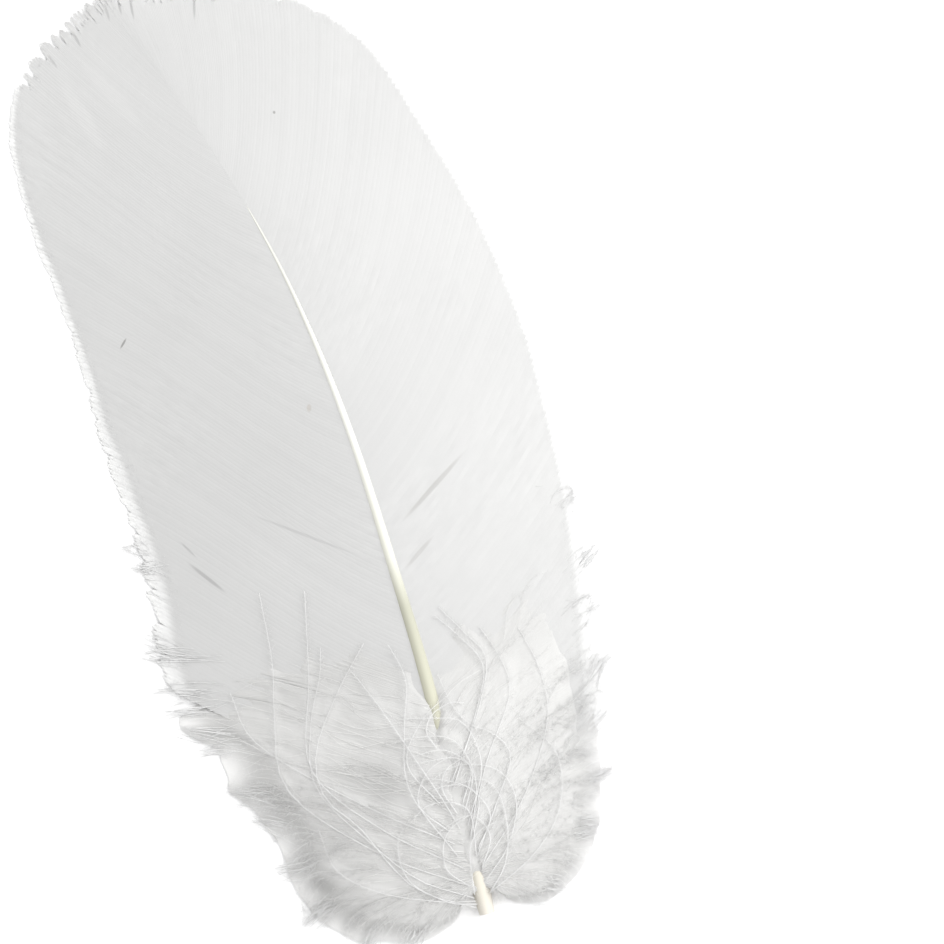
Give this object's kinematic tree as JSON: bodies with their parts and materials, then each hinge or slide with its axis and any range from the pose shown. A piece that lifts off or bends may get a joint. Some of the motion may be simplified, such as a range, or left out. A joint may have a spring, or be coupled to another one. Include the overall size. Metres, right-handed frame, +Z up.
{
  "type": "goose quill feather",
  "caption": "Shed white goose feather lying back up: tapering horn shaft, two broad cambered vanes and loose down round the quill end.",
  "frame": {"origin": "middle of the box round the feather, at the surface it lies on", "axes": "+Y from the quill end to the tip, +X to the right vane seen from above, +Z up out of the feather's back"},
  "size_m": [0.0722, 0.1548, 0.0076],
  "materials": {
    "horn": "smooth cream horn, satin",
    "web": "white zipped barbs, matt with a soft sheen along them",
    "fluff": "white loose down, matt"
  },
  "bodies": {
    "root": {"shaft": "horn", "vane_left": "web", "vane_right": "web", "down_left": "fluff", "down_right": "fluff"}
  },
  "joints": []
}
